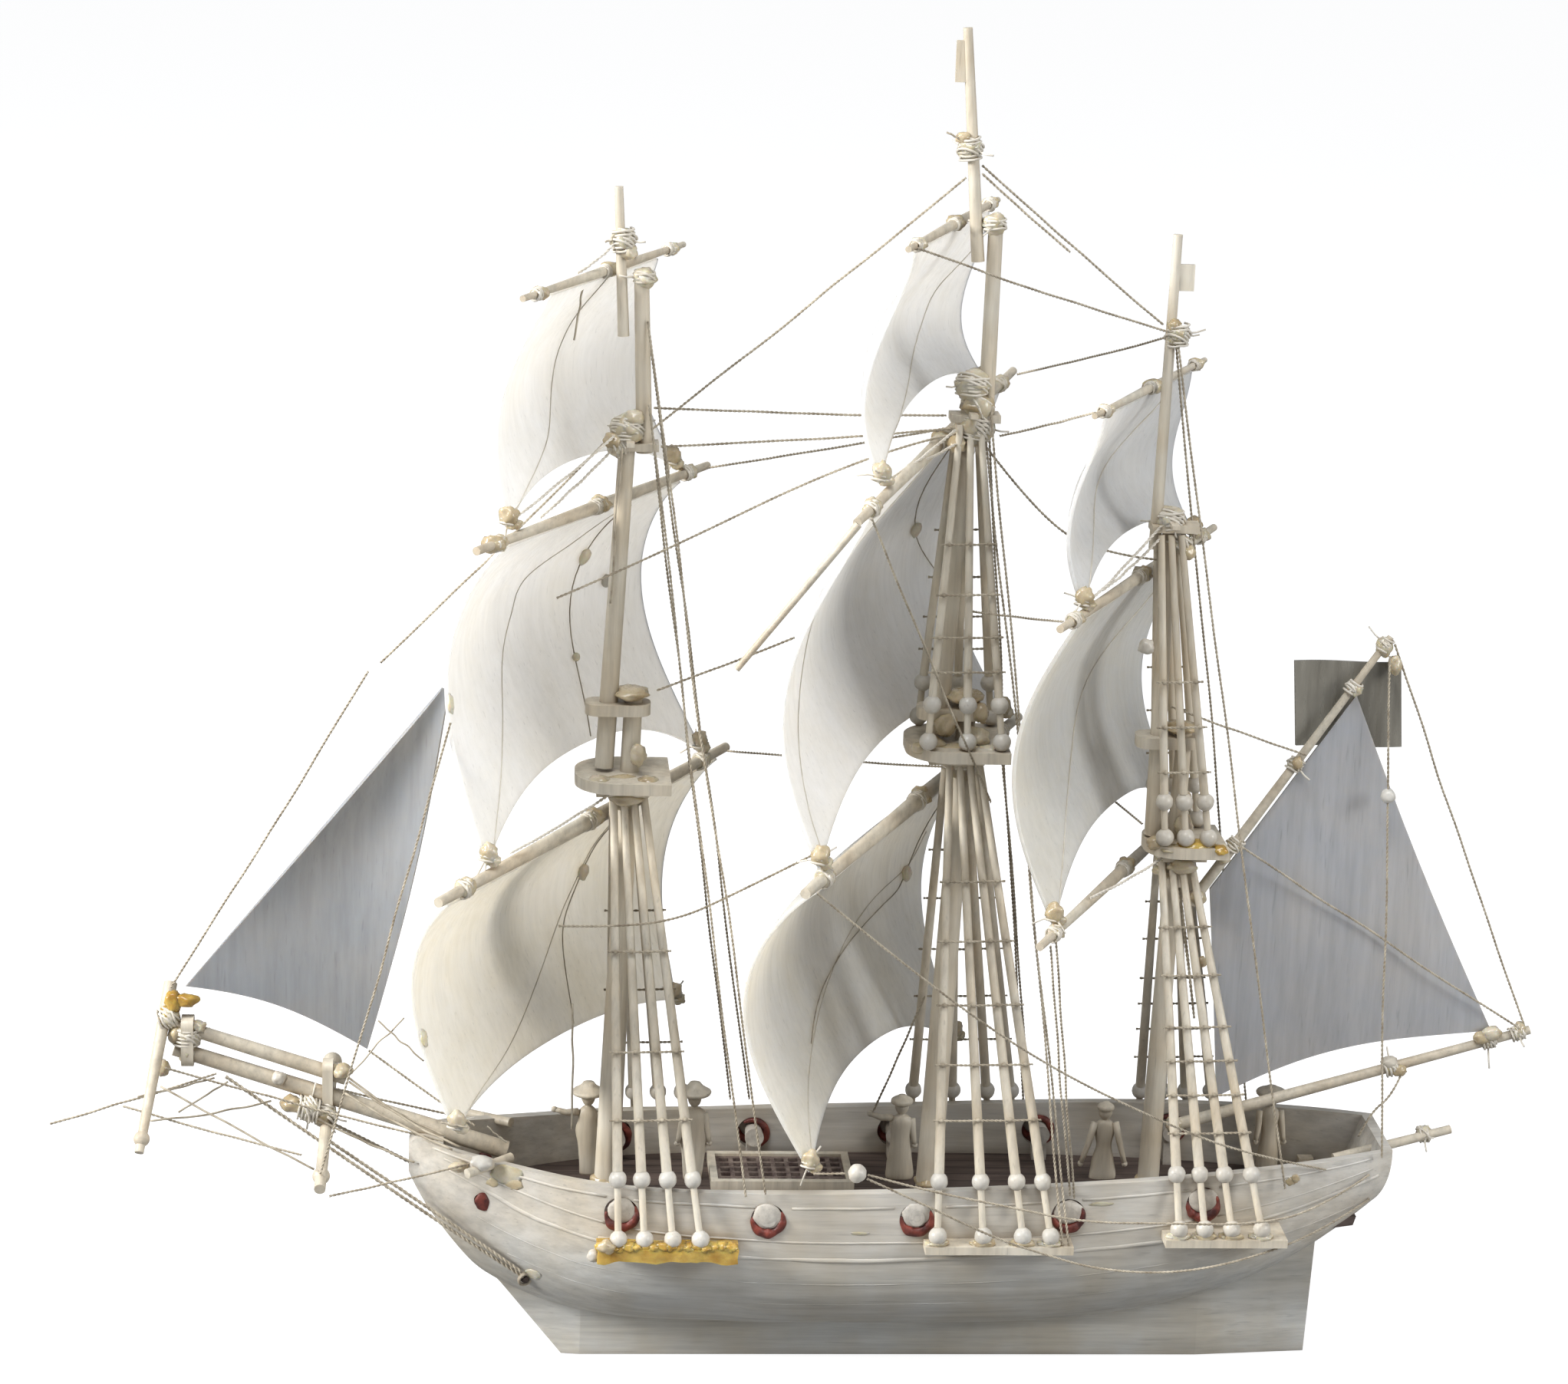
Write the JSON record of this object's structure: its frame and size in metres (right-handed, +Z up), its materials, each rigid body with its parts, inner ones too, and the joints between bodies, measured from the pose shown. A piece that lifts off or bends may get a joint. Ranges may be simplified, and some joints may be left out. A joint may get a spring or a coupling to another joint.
{
  "type": "model sailing ship",
  "caption": "Carved bone miniature of a square-rigged sailing ship with rigid curved sails, rod shrouds with bead deadeyes and thread rigging, standing on its flat keel.",
  "frame": {"origin": "centre of the keel's flat underside", "axes": "+X aft (bow towards -X), +Y starboard, +Z up the masts"},
  "size_m": [0.1981, 0.0734, 0.1785],
  "materials": {
    "hull_bone": "carved and polished bone",
    "bone": "turned and scraped bone",
    "sail_bone": "thin scraped bone plate",
    "deck_brown": "brown stained deck board",
    "grating": "bone grating over a dark hatch",
    "red_wax": "red pigment ring",
    "horn": "thin translucent horn plate",
    "silk_thread": "twisted silk thread"
  },
  "bodies": {
    "ship": {"backstays": "silk_thread", "binnacle": "bone", "boomkin": "bone", "bowsprit": "bone", "bowsprit_chocks": "bone", "cannons": "bone", "catheads": "bone", "channels": "bone", "crew": "bone", "crosslines": "silk_thread", "deadeyes": "bone", "deck": "deck_brown", "gunport_rings": "red_wax", "hatch_coaming": "bone", "hatch_grating": "grating", "headstays": "silk_thread", "hull": "hull_bone", "jib": "sail_bone", "jibboom": "bone", "lower_masts": "bone", "lower_shrouds": "bone", "mast_caps": "bone", "mast_tops": "bone", "outer_sprit_yard": "bone", "pole_masts": "bone", "ratlines": "silk_thread", "spritsail_yard": "bone", "topgallant_masts": "bone", "topmast_shrouds": "bone", "topmasts": "bone"},
    "fore_yards": {"fore_course_yard": "bone", "fore_course_sail": "sail_bone", "fore_topsail_yard": "bone", "fore_topsail_sail": "sail_bone", "fore_topgallant_yard": "bone", "fore_topgallant_sail": "sail_bone", "fore_braces": "silk_thread"},
    "main_yards": {"main_course_yard": "bone", "main_course_sail": "sail_bone", "main_topsail_yard": "bone", "main_topsail_sail": "sail_bone", "main_topgallant_yard": "bone", "main_topgallant_sail": "sail_bone", "studdingsail_boom": "bone", "main_braces": "silk_thread", "main_course_brace": "silk_thread", "main_sheet_upper": "silk_thread", "main_sheet_lower": "silk_thread"},
    "mizzen_yards": {"mizzen_crossjack": "bone", "mizzen_topsail_yard": "bone", "mizzen_topsail_sail": "sail_bone", "mizzen_topgallant_yard": "bone", "mizzen_topgallant_sail": "sail_bone", "mizzen_braces": "silk_thread"},
    "spanker": {"spanker": "sail_bone", "spanker_boom": "bone", "gaff": "bone", "spanker_halyard": "silk_thread", "spanker_lines": "silk_thread"},
    "ensign": {"ensign": "horn"}
  },
  "joints": [
    {"name": "fore_yards_swing", "type": "hinge", "parent": "ship", "child": "fore_yards", "pos_m": [-0.0449, 0, 0.0183], "axis": [0.0312, 0, 0.9995], "range_deg": [-4, 4], "deforming": ["fore_braces"]},
    {"name": "main_yards_swing", "type": "hinge", "parent": "ship", "child": "main_yards", "pos_m": [-0.0014, 0, 0.0183], "axis": [0.0339, 0, 0.9994], "range_deg": [-4, 4], "deforming": ["main_braces", "main_course_brace", "main_sheet_upper", "main_sheet_lower"]},
    {"name": "mizzen_yards_swing", "type": "hinge", "parent": "ship", "child": "mizzen_yards", "pos_m": [0.0286, 0, 0.0183], "axis": [0.0199, 0, 0.9998], "range_deg": [-4, 4], "deforming": ["mizzen_braces"]},
    {"name": "spanker_swing", "type": "hinge", "parent": "ship", "child": "spanker", "pos_m": [0.0286, 0, 0.0183], "axis": [0.0199, 0, 0.9998], "range_deg": [-6, 6], "deforming": ["spanker_lines"]},
    {"name": "ensign_swivel", "type": "hinge", "parent": "spanker", "child": "ensign", "pos_m": [0.0592, 0.0015, 0.091], "axis": [0, 0, 1], "range_deg": [-40, 0]}
  ]
}
